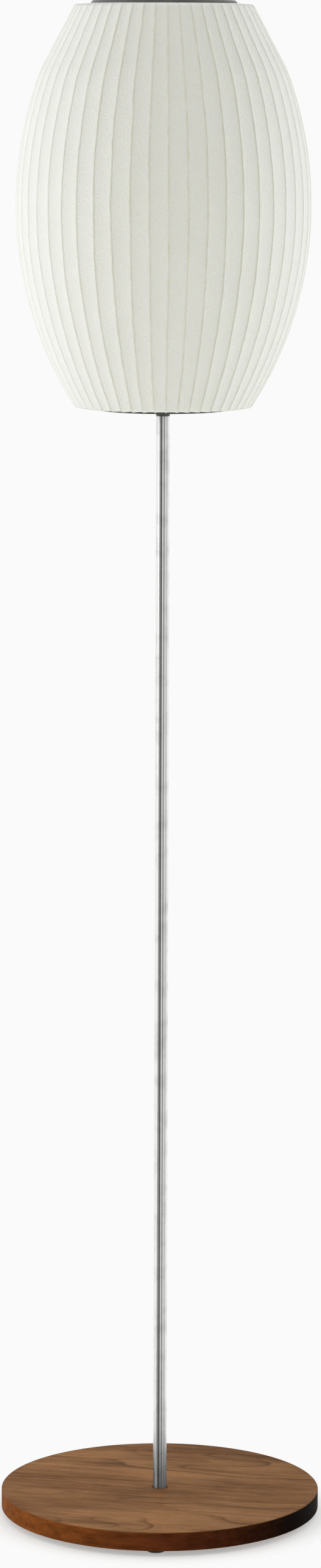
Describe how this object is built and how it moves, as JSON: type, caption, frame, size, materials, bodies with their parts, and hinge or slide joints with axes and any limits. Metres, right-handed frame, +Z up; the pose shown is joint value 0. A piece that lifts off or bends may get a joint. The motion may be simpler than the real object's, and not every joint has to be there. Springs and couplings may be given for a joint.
{
  "type": "floor lamp",
  "caption": "Floor lamp with a ribbed barrel shade of translucent skin over wires, on a slim brushed metal pole and a round wooden base.",
  "frame": {"origin": "on the floor under the middle of the base", "axes": "+Z is up along the pole, -Y is the front and +X is to the right seen from the front"},
  "size_m": [0.403, 0.403, 1.905],
  "materials": {
    "walnut": "satin oiled walnut",
    "ballast_black": "black painted steel",
    "zinc": "zinc plated steel",
    "black_nylon": "matt black nylon",
    "pole_steel": "brushed nickel",
    "dark_metal": "dark satin metal",
    "shade_white": "warm white translucent sprayed plastic",
    "wire_steel": "white coated wire",
    "brass": "plain brass",
    "liner_card": "brown fibre",
    "core_black": "moulded black insulation",
    "cap_nickel": "plain pressed aluminium",
    "opal": "opal white"
  },
  "bodies": {
    "root": {"base_disc": "walnut", "ballast_plate": "ballast_black", "ballast_screws": "zinc", "glide_1": "black_nylon", "glide_2": "black_nylon", "glide_3": "black_nylon", "glide_4": "black_nylon", "glide_5": "black_nylon", "glide_screws": "zinc", "cord_clamp": "black_nylon", "clamp_screws": "zinc", "pole_washer": "zinc", "pole_nut": "zinc", "foot_rod": "zinc", "outlet_bushing": "black_nylon", "pole_tube": "pole_steel", "foot_plug": "zinc", "head_plug": "zinc", "pole_collar": "dark_metal", "lower_ring": "dark_metal", "upper_ring": "dark_metal", "rib_wires": "wire_steel", "shade_skin": "shade_white", "hub_washer": "zinc", "hub_nut": "zinc", "head_rod": "zinc", "riser_tube": "brass", "holder_rod": "zinc", "holder_cap": "brass", "holder_shell": "brass", "holder_liner": "liner_card", "holder_core": "core_black", "terminal_screws": "brass", "thread_shell": "brass", "centre_contact": "brass"},
    "bulb": {"bulb_contact": "cap_nickel", "bulb_insulator": "core_black", "bulb_cap": "cap_nickel", "bulb_envelope": "opal"}
  },
  "joints": [
    {"name": "bulb_turn", "type": "hinge", "parent": "root", "child": "bulb", "pos_m": [0, 0, 1.58], "axis": [0, 0, 1], "range_deg": [0, 1080]}
  ]
}
